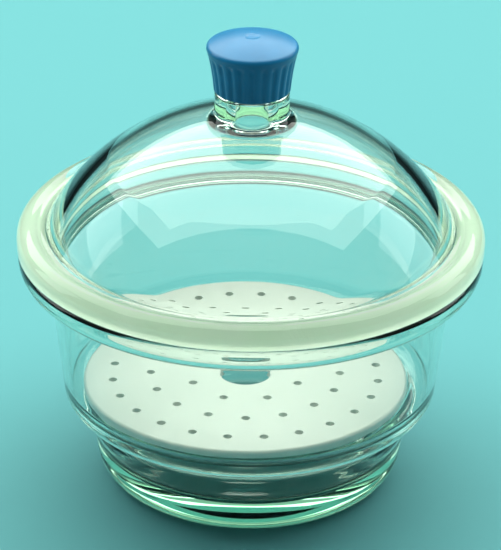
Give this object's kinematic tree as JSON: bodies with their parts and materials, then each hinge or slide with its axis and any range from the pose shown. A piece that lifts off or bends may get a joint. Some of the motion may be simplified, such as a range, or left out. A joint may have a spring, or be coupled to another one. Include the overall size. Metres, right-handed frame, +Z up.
{
  "type": "glass desiccator",
  "caption": "Round glass laboratory desiccator with a flat ground flange, a domed lid with a screw knob, and a loose perforated porcelain plate.",
  "frame": {"origin": "centre of the circle that the foot ring rests on", "axes": "+Z up along the vessel's axis; -Y towards the front view; the loose plate lies slightly towards -X"},
  "size_m": [0.27, 0.27, 0.2744],
  "materials": {
    "glass": "clear borosilicate, flange faces ground",
    "porcelain": "white satin glaze",
    "seal": "matt",
    "blue_plastic": "semi-gloss moulded"
  },
  "bodies": {
    "base": {"base_vessel": "glass"},
    "plate": {"porcelain_plate": "porcelain"},
    "lid": {"lid": "glass"},
    "seal": {"knob_seal": "seal"},
    "knob": {"knob": "blue_plastic"}
  },
  "joints": [
    {"name": "plate_lift", "type": "slide", "parent": "base", "child": "plate", "axis": [0, 0, 1], "range_m": [0, 0.095]},
    {"name": "lid_lift", "type": "slide", "parent": "base", "child": "lid", "axis": [0, 0, 1], "range_m": [0, 0.2]},
    {"name": "knob_rise", "type": "slide", "parent": "lid", "child": "seal", "axis": [0, 0, 1], "range_m": [0, 0.008]},
    {"name": "knob_turn", "type": "hinge", "parent": "seal", "child": "knob", "pos_m": [0, 0, 0.25], "axis": [0, 0, 1], "range_deg": [0, 720]}
  ],
  "couplings": [
    {"joint": "knob_turn", "follows": "knob_rise", "rad_per_m": 1570.8}
  ]
}
